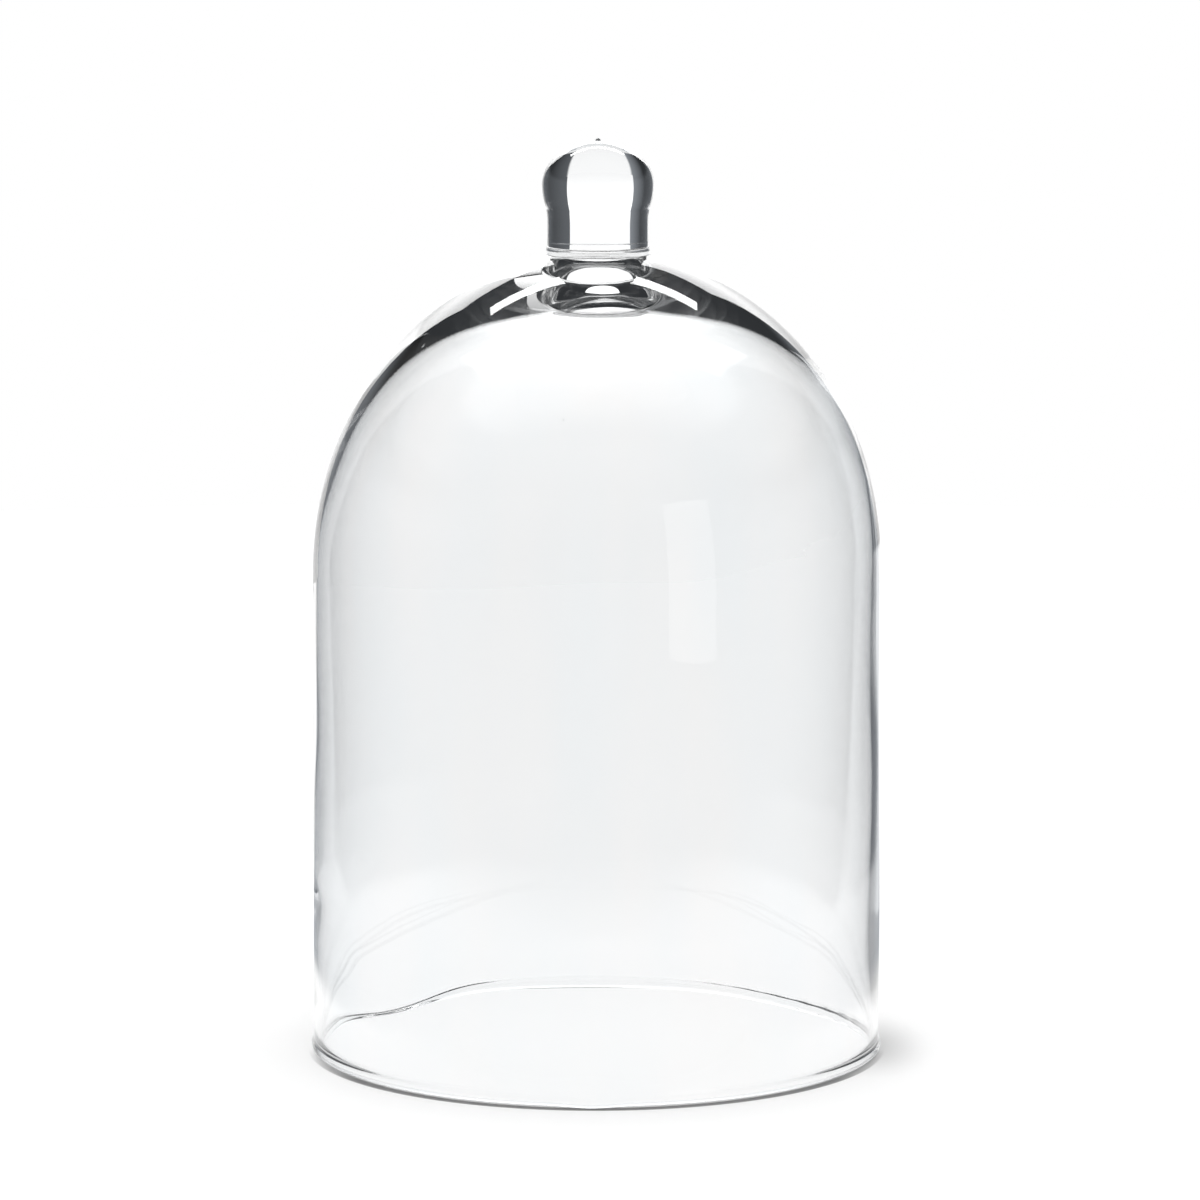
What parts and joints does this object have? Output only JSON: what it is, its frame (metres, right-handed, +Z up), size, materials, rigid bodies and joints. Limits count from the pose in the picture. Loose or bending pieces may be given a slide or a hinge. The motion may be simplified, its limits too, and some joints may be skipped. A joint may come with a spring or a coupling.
{
  "type": "glass bell jar dome",
  "caption": "Hand-blown clear glass bell with an open foot, a round crown and a solid glass knob, set over an object to display and protect it.",
  "frame": {"origin": "centre of the ring that the rim stands on, on the axis of the bell", "axes": "+Z up the axis of the bell towards the knob; the bell is round, so X and Y are free, and -Y is the front"},
  "size_m": [0.1816, 0.1816, 0.29],
  "materials": {
    "clear_glass": "clear blown soda-lime glass, fire-polished, with faint waves and a few seeds",
    "solid_glass": "clear solid gather of soda-lime glass, fire-polished"
  },
  "bodies": {
    "root": {"bell_shell": "clear_glass", "rim_bead": "clear_glass", "knob_collar": "solid_glass", "knob": "solid_glass"}
  },
  "joints": []
}
